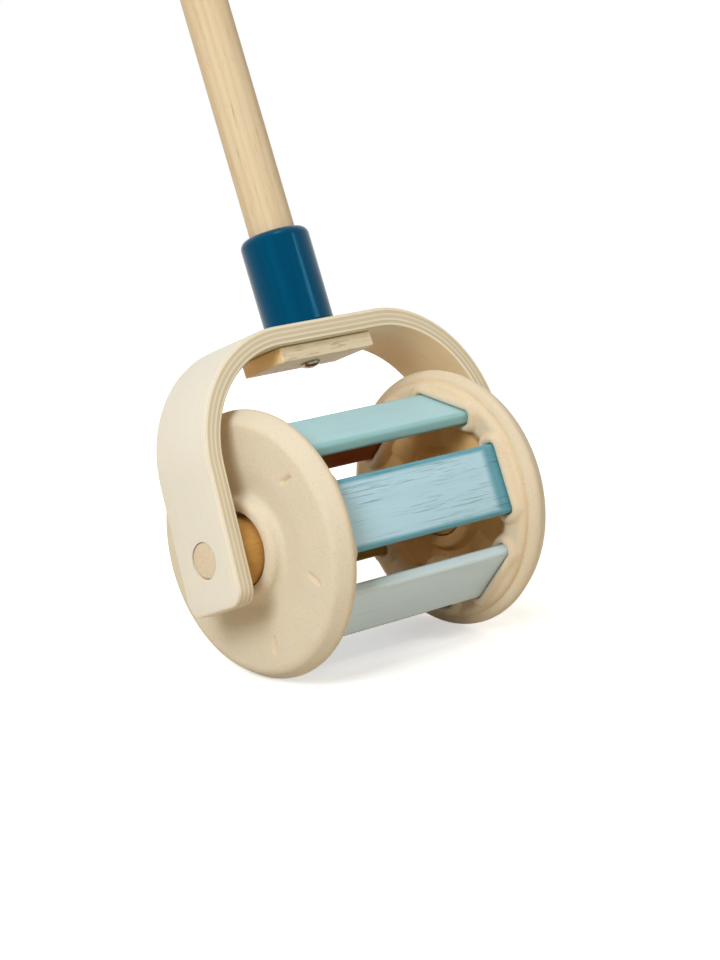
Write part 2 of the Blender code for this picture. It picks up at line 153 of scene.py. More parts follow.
class PushToySizes(PropertyGroup):
    """Sizes of the shapes that only the looks need."""
    ply_edge: length("Plywood edge", "Rounding of the strip's long edges", 0.0011)
    leg_corner: length("Leg corner", "Rounding of each leg's foot", 0.0076)
    leg_splay: degrees_of("Leg splay", "How far each leg leans out towards its foot", 3.5)
    bridge_flat: length("Bridge flat", "Straight run of the strip over the roller", 0.056)
    bend_radius: length("Bend radius", "Outside of the bend between bridge and leg", 0.0551)
    ply_count: IntProperty(name="Plies", description="Plywood layers", default=7, min=1, max=9)
    running_gap: length("Running gap", "Least play of a disc on its collar", 0.0005)
    boss_wall: length("Boss wall", "Wall of the hub's boss", 0.0053)
    boss_height: length("Boss height", "Rise of the hub's boss on a disc's outside", 0.0045)
    boss_crown: length("Boss crown", "Rounding of the boss", 0.0034)
    valley: length("Valley", "Depth of the soft valley round the boss", 0.0008)
    face_margin: length("Face margin", "From the outer face's edge to the rim", 0.0065)
    rim_round: length("Rim round", "Rounding where the outer face turns over", 0.0046)
    rim_slope: degrees_of("Rim slope", "Slope of the band round the rim", 28)
    step_margin: length("Step margin", "From the raised step on the inside to the rim", 0.0042)
    step_round: length("Step round", "Rounding of the step and of the band round it", 0.0036)
    step_height: length("Step height", "Rise of the step above the band", 0.0042)
    recess_depth: length("Recess depth", "Depth of the bowl inside a disc", 0.0055)
    recess_margin: length("Recess margin", "Flat run inside the step before the bowl", 0.0062)
    recess_radius: length("Recess radius", "Radius of the bowl's flat floor", 0.035)
    inner_boss_wall: length("Inner boss wall", "Wall of the hub's boss inside", 0.0055)
    inner_boss_rise: length("Inner boss rise", "Rise of the hub's boss inside", 0.0040)
    lip_height: length("Lip height", "Rise of a slot's lip above the step", 0.0008)
    lip_sink: length("Lip sink", "Sink of the step away from the lips", 0.0011)
    lip_reach: length("Lip reach", "How far a slot's lip spreads", 0.0045)
    lip_roll: length("Lip roll", "Rounding of a lip into its slot", 0.0017)
    dent_depth: length("Dent depth", "Depth of the short dents on a disc's outside", 0.0016)
    dent_radius: length("Dent circle", "Radius of the circle the dents lie on", 0.0415)
    slat_round: length("Slat edge", "Rounding of a slat's long edges", 0.0018)
    sleeve_round: length("Sleeve edge", "Rounding of the sleeve's top", 0.0042)


class PushToyColours(PropertyGroup):
    """Colours of the finishes."""
    veneer: tint("Face veneer", "Birch veneer on the strip's broad faces", (0.735, 0.697, 0.62))
    # Painted shade: the strip's inner face, under the bridge, is a warmer, darker veneer.
    shaded_inner_veneer: tint("Inner veneer", "Birch veneer inside the bend", (0.8, 0.63, 0.4))
    light_ply: tint("Light ply", "Long-grain layers on the strip's edge", (0.78, 0.702, 0.562))
    dark_ply: tint("Dark ply", "Cross-grain layers on the strip's edge", (0.605, 0.51, 0.355))
    pressed: tint("Pressed wood", "Moulded discs", (0.724, 0.638, 0.502))
    # Painted shade: the deeper orange tone laid on the discs' hollows and inner faces.
    hollow: tint("Hollows", "Pressed wood in bowls and creases", (0.85, 0.52, 0.2))
    speck: tint("Specks", "Dark flecks in the pressed wood", (0.33, 0.19, 0.085))
    deep_blue: tint("Deep blue", "Paint on the sleeve and the knob", (0.0, 0.052, 0.122))
    stick: tint("Stick", "Pale dowel", (0.69, 0.565, 0.39))
    stick_dark: tint("Stick streak", "Darker growth lines of the stick", (0.53, 0.37, 0.21))
    axle: tint("Axle", "Axle dowel", (0.7, 0.595, 0.455))
    axle_dark: tint("Axle ring", "Darker growth lines of the axle", (0.6, 0.44, 0.29))
    # Painted shade: the collars, in shade between legs and discs, are a darker, warmer copy of the axle's wood.
    collar: tint("Collar", "Collars that the discs turn on", (0.53, 0.29, 0.085))
    collar_shade_dark: tint("Collar ring", "Darker growth lines of the collars", (0.41, 0.2, 0.05))
    ball: tint("Ball", "Loose ball", (0.93, 0.72, 0.43))
    block: tint("Block", "Clamp block", (0.85, 0.765, 0.6))
    # The block's sawn ends: end-grain tone, made warmer as painted shade.
    block_end_grain_and_shade: tint("Block end", "Sawn ends of the clamp block", (0.98, 0.72, 0.38))
    block_dark: tint("Block streak", "Darker growth lines of the block", (0.6, 0.41, 0.22))
    # Slat colours: each face colour carries a painted sheen, and each shaded edge colour is painted shade on the
    # rounded edges.
    sky_blue: tint("Sky blue", "Front slat", (0.435, 0.645, 0.765))
    sky_blue_shaded_edge: tint("Sky blue edge", "Front slat's edges", (0.105, 0.335, 0.43))
    teal: tint("Teal", "Upper slat", (0.395, 0.605, 0.66))
    teal_shaded_edge: tint("Teal edge", "Upper slat's edges", (0.3, 0.55, 0.57))
    rust: tint("Rust", "Upper back slat", (0.5, 0.125, 0.03))
    ochre: tint("Ochre", "Back slat", (0.62, 0.39, 0.11))
    navy: tint("Navy", "Lower back slat", (0.01, 0.075, 0.15))
    grey: tint("Grey", "Lower front slat", (0.655, 0.805, 0.92))
    grey_shaded_edge: tint("Grey edge", "Lower front slat's edges", (0.675, 0.805, 0.86))
    nickel: tint("Nickel", "Screw", (0.36, 0.3, 0.2))
    brass: tint("Brass", "Threaded insert", (0.69, 0.5, 0.2))
    floor: tint("Floor", "Plain pale floor", (0.86, 0.86, 0.855))
    bounce: tint("Bounce", "Light that the floor throws back", (0.6, 0.53, 0.43))
    ambient: tint("Ambient", "Even light from all round", (1.0, 0.85, 0.62))
    lamp: tint("Lamps", "Light of the lamps", (0.91, 0.97, 1.0))


class PushToyStage(PropertyGroup):
    """Camera and light."""
    camera_place: vector("Camera place", "Where the camera stands", (-0.78073, -0.92234, 0.37021),
                         subtype="XYZ", unit="LENGTH")
    camera_right: vector("Camera right", "The picture's rightward direction",
                         (0.727973, -0.685602, -0.002411), subtype="DIRECTION")
    camera_back: vector("Camera back", "From the toy to the camera",
                        (-0.663202, -0.705071, 0.251074), subtype="DIRECTION")
    focal_pixels: number("Focal length", "In the photograph's pixels", 2781.5, subtype="PIXEL")
    key_power: watts("Key light", "Large soft light, left", 18.7)
    right_power: watts("Right light", "Narrow light, right", 1.6)
    top_power: watts("Top light", "Soft light overhead", 6.0)
    back_power: watts("Back light", "Large soft light, behind", 8.0)
    ambient: number("Ambient", "Even light from all round", 0.41)
    floor_glow: number("Floor glow", "White the camera sees added to the floor", 0.50)


def math_pair(operation):
    """An operator's plain and reflected method, each of which adds a Math node."""
    def plain(self, other):
        return self.math(operation, self, other)

    def reflected(self, other):
        return self.math(operation, other, self)
    return plain, reflected


class Value:
    """A socket in a finish's node tree. Python arithmetic on a number adds Math nodes."""
    __add__, __radd__ = math_pair("ADD")
    __sub__, __rsub__ = math_pair("SUBTRACT")
    __mul__, __rmul__ = math_pair("MULTIPLY")
    __truediv__, __rtruediv__ = math_pair("DIVIDE")
    __pow__, __rpow__ = math_pair("POWER")

    def __init__(self, finish, socket):
        self.finish = finish
        self.socket = socket

    def math(self, operation, first, second=0.0):
        return self.finish.add("Math", {"operation": operation}, {0: first, 1: second})

    def __abs__(self):
        return self.math("ABSOLUTE", self)

    def wave(self):
        return self.math("SINE", self)

    def at_least(self, other):
        return self.math("MAXIMUM", self, other)

    def rise(self, low, high):
        """0 below low, 1 above high, smooth between; low above high falls instead."""
        return self.finish.add("MapRange", {"interpolation_type": "SMOOTHSTEP"},
                               {0: self, 1: low, 2: high, 3: 0.0, 4: 1.0})

    def output(self, index):
        """Another output of the node that this one comes from."""
        return Value(self.finish, self.socket.node.outputs[index])


class Nodes:
    """A node tree that is built from expressions on its sockets."""

    def __init__(self, tree):
        self.tree = tree

    def add(self, kind, settings=None, inputs=None, out=0):
        """Gives an output of a new node with its settings and its sockets' values or links."""
        made = self.tree.nodes.new("ShaderNode" + kind)
        for key, value in (settings or {}).items():
            if key == "stops":
                self.set_stops(made.color_ramp, value)
            else:
                setattr(made, key, value)
        for key, value in (inputs or {}).items():
            if isinstance(value, Value):
                self.tree.links.new(value.socket, made.inputs[key])
            else:
                made.inputs[key].default_value = value
        return Value(self, made.outputs[out])

    @staticmethod
    def set_stops(ramp, stops):
        while len(ramp.elements) < len(stops):
            ramp.elements.new(1.0)
        for element, (place, colour) in zip(ramp.elements, stops):
            element.position = place
            element.color = (*colour, 1.0)

    def looked_at(self):
        """1 where the camera looks, straight or by way of a gloss or glass."""
        path = self.add("LightPath")
        mirrored = path.at_least(path.output("Is Glossy Ray"))
        return mirrored.at_least(path.output("Is Transmission Ray"))

    def show(self, shader, output):
        """Links a shader to the tree's output node."""
        self.tree.links.new(shader.socket, self.tree.nodes[output].inputs["Surface"])


class Finish(Nodes):
    """One procedural material."""

    def __init__(self, name, constants):
        self.material = bpy.data.materials.new(name)
        self.material.use_nodes = True
        super().__init__(self.material.node_tree)
        self.shader = self.tree.nodes["Principled BSDF"]
        for socket, value in constants.items():
            self.shader.inputs[socket].default_value = value

    def grain(self):
        """The piece's own coordinates, kept on its points."""
        return self.add("Attribute", {"attribute_name": "grain"}, out=1)

    def parts(self, place):
        first = self.add("SeparateXYZ", inputs={0: place})
        return first, first.output(1), first.output(2)

    def stretch(self, place, scale, shift=ORIGIN):
        return self.add("VectorMath", {"operation": "MULTIPLY_ADD"}, {0: place, 1: scale, 2: shift})

    def distance(self, place):
        """Distance of a place from the origin."""
        return self.add("VectorMath", {"operation": "LENGTH"}, {0: place}, out=1)

    def noise(self, place, scale, detail=3.0, roughness=0.55, shift=ORIGIN, distortion=0.0):
        """Noise of one scale, or drawn out by a scale for each coordinate."""
        if isinstance(scale, tuple):
            place, scale = self.stretch(place, scale, shift), 1.0
        return self.add("TexNoise", inputs={"Vector": place, "Scale": scale, "Detail": detail,
                                            "Roughness": roughness, "Distortion": distortion})

    def cells(self, place, scale):
        """Distance to the nearest of scattered points; its second output is the point's colour."""
        return self.add("TexVoronoi", inputs={"Vector": place, "Scale": scale})

    def mix(self, amount, first, second):
        """Colours mixed by an amount."""
        ends = {key: value if isinstance(value, Value) else (*value, 1.0)
                for key, value in ((6, first), (7, second))}
        return self.add("Mix", {"data_type": "RGBA"}, {0: amount, **ends}, out=2)

    def bump(self, height, depth, strength):
        return self.add("Bump", inputs={"Height": height, "Distance": depth, "Strength": strength})

    def surface(self, colour, roughness=None, normal=None):
        """Links what varies over the surface to the shader."""
        links = {"Base Color": colour, "Roughness": roughness, "Normal": normal}
        for socket, value in links.items():
            if value is not None:
                self.tree.links.new(value.socket, self.shader.inputs[socket])
        return self.material


# Light sinks a little way into bare wood and comes out warmer.
SOFT_WOOD = {"Specular IOR Level": 0.12, "Subsurface Weight": 0.25,
             "Subsurface Radius": (1.0, 0.42, 0.16), "Subsurface Scale": 0.004}
FAR_PITH = (0.021, 0.034, 0.027)
WHITE = (1.0, 1.0, 1.0, 1.0)


def shade(colour, factor):
    return tuple(min(1.0, channel * factor) for channel in colour)


def plywood_finish(sizes, colours):
    """Birch plywood: pale veneer on the outer face, banded plies on the edge, and a warmer, darker veneer on the
    inner face as painted shade under the bridge.

    Grain coordinates: length along the strip, depth from its inner face, place across it.
    """
    made = Finish("birch_plywood", SOFT_WOOD)
    grain = made.grain()
    depth = made.parts(grain)[1]
    wander = made.noise(grain, (45, 30, 160), 2.0) - 0.5
    layer = depth / PLY_THICKNESS + wander * 0.035
    veneer = 0.05
    glue_line = 0.014
    glue = shade(colours.dark_ply, 0.86)
    step = (1 - 2 * veneer) / sizes.ply_count
    # The inner face starts from the shaded inner veneer, painted shade under the bridge.
    stops = [(0.0, colours.shaded_inner_veneer)]
    for ply in range(sizes.ply_count):
        uneven = 1 + 0.07 * sin(2.4 * ply + 1)
        tone = shade(colours.dark_ply if ply % 2 else colours.light_ply, uneven)
        low = veneer + ply * step
        stops += [(low, glue), (low + glue_line, tone), (low + step - glue_line, tone)]
    stops += [(1 - veneer, glue), (1 - veneer + glue_line, colours.veneer)]
    banded = made.add("ValToRGB", {"stops": stops}, {0: layer})
    fibre = made.noise(grain, (22, 260, 420), 5.0, 0.65)
    figure = made.noise(grain, (9, 40, 70), shift=(0.0, 3.0, 1.0), distortion=0.6)
    pores = made.noise(grain, (120, 900, 1500), 2.0).rise(0.66, 0.74)
    colour = made.mix((fibre - 0.35) * 0.55, banded, shade(colours.light_ply, 0.92))
    colour = made.mix(figure.rise(0.45, 0.75) * 0.20, colour, shade(colours.light_ply, 1.02))
    colour = made.mix(pores * 0.25, colour, colours.stick_dark)
    normal = made.bump(fibre + pores * -0.4, 0.00012, 0.6)
    return made.surface(colour, fibre * 0.14 + 0.42, normal)


def pressed_finish(colours):
    """Moulded wood dust: even warm beige with fine mottling and a few dark and pale flecks, with painted shade, a
    deeper orange, over its inner face and in its hollows.
    """
    made = Finish("pressed_wood", SOFT_WOOD)
    grain = made.grain()
    hollow = made.add("Attribute", {"attribute_name": "hollow"}, out=2)
    cloud = made.noise(grain, 70.0, 4.0, 0.6)
    dust = made.noise(grain, 1100.0, 3.0, 0.7)
    fleck = made.cells(made.stretch(grain, (1.0, 0.7, 1.0)), 1100.0)
    dark = fleck.rise(0.36, 0.16) * made.parts(fleck.output(1))[0].rise(0.60, 0.90)
    pale = made.cells(grain, 800.0)
    light = pale.rise(0.34, 0.15) * made.parts(pale.output(1))[1].rise(0.74, 0.82)
    colour = made.mix(cloud.rise(0.30, 0.72) * 0.35, colours.pressed, shade(colours.pressed, 0.93))
    # Painted shade: a deeper orange tone where the moulding is hollow and over the inner face.
    colour = made.mix(hollow, colour, colours.hollow)
    colour = made.mix((dust - 0.3) * 0.60, colour, shade(colours.pressed, 0.78))
    colour = made.mix(dark * 0.22, colour, colours.speck)
    colour = made.mix(light * 0.30, colour, shade(colours.pressed, 1.14))
    normal = made.bump(dust + cloud * 0.8, 0.00010, 0.5)
    return made.surface(colour, cloud * 0.16 + 0.46, normal)


def paint_finish(name, colour, shaded_edge_colour, open_grain_and_end_shade, seed):
    """Thin paint on a slat, with the wood's pores and brush marks in it. Its lighter flat face carries a painted
    sheen, its rounded edges and its ends by the discs are painted deeper as shade, and its back towards the axle
    is painted darker as shade.

    Grain coordinates: along the slat, across it, and out from its middle.
    """
    made = Finish(name, {"Specular IOR Level": 0.12})
    grain = made.grain()
    along, across, out = made.parts(grain)
    shift = (seed * 3.7, seed * 1.3, 0.0)
    # Masks of the painted shade: the rounded edges, the ends by the discs and the back towards the axle.
    edge_shade_starts, edge_shade_full = SLAT_WIDTH / 2 - 0.0032, SLAT_WIDTH / 2 - 0.0012
    end_shade_starts, end_shade_full = INNER_FACE - 0.0092, INNER_FACE - 0.0046
    back_shade_starts, back_shade_full = 0.0016 - SLAT_THICKNESS / 2, 0.0008 - SLAT_THICKNESS / 2
    tip = along.rise(end_shade_starts, end_shade_full) * open_grain_and_end_shade
    edge = abs(across).rise(edge_shade_starts, edge_shade_full).at_least(tip)
    line = made.noise(grain, (48, 2500, 500), 2.0, 0.6, shift)
    patch = made.noise(grain, (26, 90, 60), 2.0, shift=shift)
    pores = line.rise(0.57, 0.69) * patch.rise(0.32, 0.60)
    brush = made.noise(grain, (14, 330, 200), 5.0, 0.6, shift)
    marked = 0.10 + 0.24 * open_grain_and_end_shade
    porous = 0.03 + 0.42 * open_grain_and_end_shade
    face = made.mix(brush.rise(0.3, 0.75) * marked, shade(colour, 1.08), shade(colour, 0.92))
    deep = made.mix(brush * 0.4, shaded_edge_colour, shade(shaded_edge_colour, 0.85))
    # Painted sheen and shade: lighter flat face, deeper rounded edges and ends by the discs.
    body = made.mix(edge * 0.9, face, deep)
    # Painted shade: the slat's back, towards the axle, darker.
    body = made.mix(out.rise(back_shade_starts, back_shade_full) * 0.6, body, shade(shaded_edge_colour, 0.5))
    body = made.mix(pores * porous, body, shade(shaded_edge_colour, 0.45))
    normal = made.bump(brush * 0.35 + pores * -1.0, 0.00016, 0.7)
    return made.surface(body, brush * 0.18 + 0.40, normal)


def gloss_finish(name, colour):
    """Deep satin paint on turned wood, with a faint drag of the brush along the grain."""
    made = Finish(name, {"Specular IOR Level": 0.28, "Specular Tint": (0.08, 0.62, 1.00, 1.0)})
    grain = made.grain()
    drag = made.noise(grain, (420, 14, 420), 4.0)
    ripple = made.noise(grain, 90.0, 2.0)
    body = made.mix(drag.rise(0.3, 0.7) * 0.5, shade(colour, 0.88), shade(colour, 1.15))
    normal = made.bump(drag + ripple * 0.4, 0.00022, 0.5)
    return made.surface(body, drag * 0.14 + 0.12, normal)


def drawn_out(across, along, lengthwise):
    """A value for each coordinate; the one that runs lengthwise has its own."""
    return tuple(along if index == lengthwise else across for index in range(3))


def wood_finish(name, light, dark, lengthwise, ring, contrast, pith=FAR_PITH, streaks=0, ends=None):
    """Solid wood: growth rings round a distant pith, drawn out along the grain, with fine pores.

    lengthwise is the index of the grain coordinate that runs along the fibres. streaks adds short
    brown dashes, and ends, a half length and a colour, gives the sawn ends a colour of their own.
    """
    made = Finish(name, SOFT_WOOD)
    grain = made.grain()
    bent = made.noise(grain, drawn_out(34, 2.04, lengthwise)) - 0.5
    offset = [-place for place in pith]
    offset[lengthwise] = 0.0
    radial = made.distance(made.stretch(grain, drawn_out(1.0, 0.0, lengthwise), offset))
    rings = ((radial + bent * 0.006) * (2 * pi / ring)).wave() * 0.5 + 0.5
    fibre = made.noise(grain, drawn_out(520, 14, lengthwise), 5.0, 0.65)
    pores = made.noise(grain, drawn_out(1500, 90, lengthwise), 2.0).rise(0.63, 0.72)
    colour = made.mix(rings ** 2.2 * contrast * 0.6, light, dark)
    colour = made.mix(fibre.rise(0.35, 0.75) * 0.42, colour, shade(dark, 1.08))
    colour = made.mix(pores * 0.45, colour, shade(dark, 0.62))
    dashes = made.noise(grain, drawn_out(800, 110, lengthwise), 2.0, shift=(2.0, 5.0, 3.0))
    colour = made.mix(dashes.rise(0.56, 0.68) * streaks, colour, shade(dark, 0.8))
    if ends:
        half, end_colour = ends
        sawn = abs(made.parts(grain)[lengthwise]).rise(half - 0.0007, half - 0.0003)
        colour = made.mix(sawn * 0.85, colour, end_colour)
    normal = made.bump(fibre * 0.6 + pores * -0.6, 0.00014, 0.6)
    return made.surface(colour, fibre * 0.16 + 0.40, normal)


def metal_finish(name, colour, roughness):
    """Bright plated metal with fine turning marks and a little tarnish."""
    made = Finish(name, {"Metallic": 1.0})
    grain = made.add("TexCoord", out=3)
    marks = made.noise(grain, 2600.0, 4.0, 0.7)
    tarnish = made.noise(grain, 420.0, 3.0)
    body = made.mix(tarnish.rise(0.4, 0.75) * 0.6, colour, shade(colour, 0.55))
    normal = made.bump(marks, 0.00004, 0.5)
    return made.surface(body, marks * 0.14 + roughness, normal)


def floor_finish(colour, bounce, glow):
    """Pale floor that the camera sees lifted to white but for the toy's shadow.

    What it throws back on the toy is a soft, dimmer light.
    """
    made = Finish("pale_floor", {"Roughness": 0.9, "Specular IOR Level": 0.1})
    place = made.add("TexCoord", out=3)
    tone = made.noise(place, 3.0, 2.0)
    made.surface(made.mix(tone * 0.06, colour, shade(colour, 0.97)))
    lift = made.add("Emission", inputs={"Color": WHITE, "Strength": glow})
    near = made.add("AddShader", inputs={0: Value(made, made.shader.outputs[0]), 1: lift})
    white = made.add("Emission", inputs={"Color": WHITE, "Strength": 1.0})
    away = made.distance(place).rise(0.35, 0.9)
    lifted = made.add("MixShader", inputs={0: away, 1: near, 2: white})
    thrown = made.add("BsdfDiffuse", inputs={"Color": (*bounce, 1.0)})
    seen = made.add("MixShader", inputs={0: made.looked_at(), 1: thrown, 2: lifted})
    made.show(seen, "Material Output")
    return made.material


def smooth(part):
    """Eases a part from 0 to 1."""
    return part * part * (3 - 2 * part)


def ramp(past, width):
    """0 before an edge and 1 from a width past it."""
    return np.clip(past / width, 0, 1)


def toy_points(mesh):
    """A mesh's points in the toy's own frame."""
    points = np.empty(len(mesh.vertices) * 3)
    mesh.vertices.foreach_get("co", points)
    back = np.array(TOY.inverted())
    return points.reshape(-1, 3) @ back[:3, :3].T + back[:3, 3]


def solid(name, points, faces):
    """A closed mesh object from points in the toy's own frame, its faces turned outward."""
    mesh = bpy.data.meshes.new(name)
    mesh.from_pydata(np.asarray(points, float).tolist(), [], faces)
    mesh.calc_loop_triangles()
    corners = np.empty(len(mesh.loop_triangles) * 3, int)
    mesh.loop_triangles.foreach_get("vertices", corners)
    first, second, third = np.asarray(points, float)[corners].reshape(-1, 3, 3).transpose(1, 0, 2)
    if np.sum(first * np.cross(second, third)) < 0:
        mesh.flip_normals()
    mesh.transform(TOY)
    mesh.update()
    made = bpy.data.objects.new(name, mesh)
    bpy.context.scene.collection.objects.link(made)
    return made


def cut(target, cutter):
    """Takes a cutter's shape out of a piece for good, and drops the cutter."""
    step = target.modifiers.new("cut", "BOOLEAN")
    step.operation = "DIFFERENCE"
    step.solver = "EXACT"
    step.object = cutter
    graph = bpy.context.evaluated_depsgraph_get()
    cut_mesh = bpy.data.meshes.new_from_object(target.evaluated_get(graph))
    target.modifiers.clear()
    target.data = cut_mesh
    bpy.data.objects.remove(cutter)


def dress(piece, node, body, finish, grain=None):
    """Puts a finish on a piece that stands for a CAD node, and lets it ride on the node's body.

    grain turns points in the toy's own frame into the coordinates that the finish follows.
    """
    mesh = piece.data
    points = toy_points(mesh)
    if grain:
        points = grain(points)
    kept = mesh.attributes.new("grain", "FLOAT_VECTOR", "POINT")
    kept.data.foreach_set("vector", points.astype(np.float32).ravel())
    mesh.materials.clear()
    mesh.materials.append(finish)
    mesh.shade_smooth()
    mesh.set_sharp_from_angle(angle=SHARP_ANGLE)
    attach(piece, body)
    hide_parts(node)


def arc(centre, radius, start, stop, steps, height=None):
    """Points of an arc in a (radius, height) profile, or with a height of its own, of an ellipse's.

    Angles in degrees.
    """
    angles = np.radians(np.linspace(start, stop, steps + 1))
    height = radius if height is None else height
    return [(centre[0] + radius * cos(angle), centre[1] + height * sin(angle)) for angle in angles]


def turned(profile, sides, axis, place=ORIGIN):
    """Points and faces of a (radius, height) profile turned round the axle, "X", or the stick, "Y".

    The profile closes on itself, or at the axis if it starts there.
    """
    points = []
    rings = []
    for radius, height in profile:
        count = 1 if radius < 1e-9 else sides
        rings.append(range(len(points), len(points) + count))
        for side in range(count):
            angle = 2 * pi * side / sides
            first = radius * cos(angle)
            second = radius * sin(angle)
            points.append((height, first, second) if axis == "X" else (second, height, first))
    pairs = list(zip(rings, rings[1:]))
    if len(rings[0]) > 1:
        pairs.append((rings[-1], rings[0]))
    faces = []
    for low, high in pairs:
        for side in range(sides):
            after = (side + 1) % sides
            corners = [low[side % len(low)], low[after % len(low)],
                       high[after % len(high)], high[side % len(high)]]
            faces.append(tuple(dict.fromkeys(corners)))
    return np.array(points) + place, faces


def rounded_outline(width, height, radius, steps):
    """Corner-rounded rectangle round the origin, as (across, up) points."""
    outline = []
    for quarter, (right, up) in enumerate(((1, 1), (-1, 1), (-1, -1), (1, -1))):
        for step in range(steps + 1):
            angle = (quarter + step / steps) * pi / 2
            outline.append((right * (width / 2 - radius) + radius * cos(angle),
                            up * (height / 2 - radius) + radius * sin(angle)))
    return outline


def lofted(sections):
    """Points and faces over sections of equal point counts, with both ends closed."""
    points = [point for section in sections for point in section]
    count = len(sections[0])
    rings = [range(first, first + count) for first in range(0, len(points), count)]
    faces = [tuple(reversed(rings[0])), tuple(rings[-1])]
    for low, high in zip(rings, rings[1:]):
        for side in range(count):
            after = (side + 1) % count
            faces.append((low[side], low[after], high[after], high[side]))
    return points, faces


def facing(turn, across, up):
    """Sideways and outward places of points, seen from the axle towards an angle round it."""
    return across * cos(turn) - up * sin(turn), across * sin(turn) + up * cos(turn)


class PieceOperator(Operator):
    """What the operators share."""
    bl_options = {"REGISTER", "UNDO"}

    @property
    def sizes(self):
        return bpy.context.scene.push_toy_sizes

    @property
    def colours(self):
        return bpy.context.scene.push_toy_colours


class PUSHTOY_OT_fork(PieceOperator):
    """Bend the plywood strip round the roller and bore it for the axle"""
    bl_idname = "push_toy.fork"
    bl_label = "Plywood Fork"

    def stations(self):
        """Strip's left half, foot first: centre, outward direction, half width and thickness."""
        sizes = self.sizes
        splay = sizes.leg_splay
        flat = sizes.bridge_flat / 2
        bend = sizes.bend_radius - PLY_THICKNESS / 2
        centre = BRIDGE_TOP - sizes.bend_radius
        foot = LEG_FOOT + sin(splay) * PLY_THICKNESS / 2
        edge = sizes.ply_edge
        corner = sizes.leg_corner
        drops = [edge * (1 - cos(radians(angle))) for angle in (0, 30, 60, 90)]
        drops += [corner * (1 - cos(radians(angle))) for angle in range(40, 91, 10)]
        rows = []
        for drop in sorted(drops):
            inset = edge - sqrt(max(0.0, edge ** 2 - max(0.0, edge - drop) ** 2))
            narrow = corner - sqrt(max(0.0, corner ** 2 - max(0.0, corner - drop) ** 2))
            height = foot + drop * cos(splay)
            rows.append((-flat - bend / cos(splay) - (centre - height) * tan(splay), height,
                         -cos(splay), sin(splay), STRIP_WIDTH / 2 - max(narrow, inset),
                         PLY_THICKNESS / 2 - inset))
        for angle in np.linspace(splay, pi / 2, BEND_STATIONS):
            rows.append((-flat - bend * cos(angle), centre + bend * sin(angle),
                         -cos(angle), sin(angle), STRIP_WIDTH / 2, PLY_THICKNESS / 2))
        return rows

    def unbend(self, points):
        """Length along the strip, depth from its inner face and place across it."""
        sizes = self.sizes
        splay = sizes.leg_splay
        flat = sizes.bridge_flat / 2
        inner = sizes.bend_radius - PLY_THICKNESS
        out = np.abs(points[:, 0]) - flat
        up = points[:, 1] - (BRIDGE_TOP - sizes.bend_radius)
        down_leg = out * sin(splay) - up * cos(splay)
        in_bend = np.where(down_leg < 0, np.hypot(out, up), out * cos(splay) + up * sin(splay))
        depth = np.where(out < 0, up, in_bend) - inner
        turn = np.maximum(np.arctan2(up, np.maximum(out, 1e-9)), splay)
        bent = (inner + PLY_THICKNESS / 2) * (pi / 2 - turn)
        half = flat + np.where(out < 0, out, bent + np.maximum(down_leg, 0))
        return np.column_stack((half * np.sign(points[:, 0]), depth, points[:, 2]))

    def execute(self, context):
        left = self.stations()
        right = [(-x, y, -out_x, *rest) for x, y, out_x, *rest in reversed(left)]
        sections = []
        for x, y, out_x, out_y, half, thick in left + right:
            edge = min(self.sizes.ply_edge, thick, half)
            section = rounded_outline(2 * thick, 2 * half, edge, 5)
            sections.append([(x + out_x * out, y + out_y * out, across) for out, across in section])
        strip = solid("ply_strip", *lofted(sections))
        reach = FORK_HIGH[0] + PLY_THICKNESS
        bore = AXLE_RADIUS + FIT_GAP
        profile = [(0.0, -reach), (bore, -reach), (bore, reach), (0.0, reach)]
        cut(strip, solid("axle_hole", *turned(profile, 64, "X", AXLE_PLACE)))
        finish = plywood_finish(self.sizes, self.colours)
        dress(strip, "plywood_fork", "frame", finish, self.unbend)
        return {"FINISHED"}


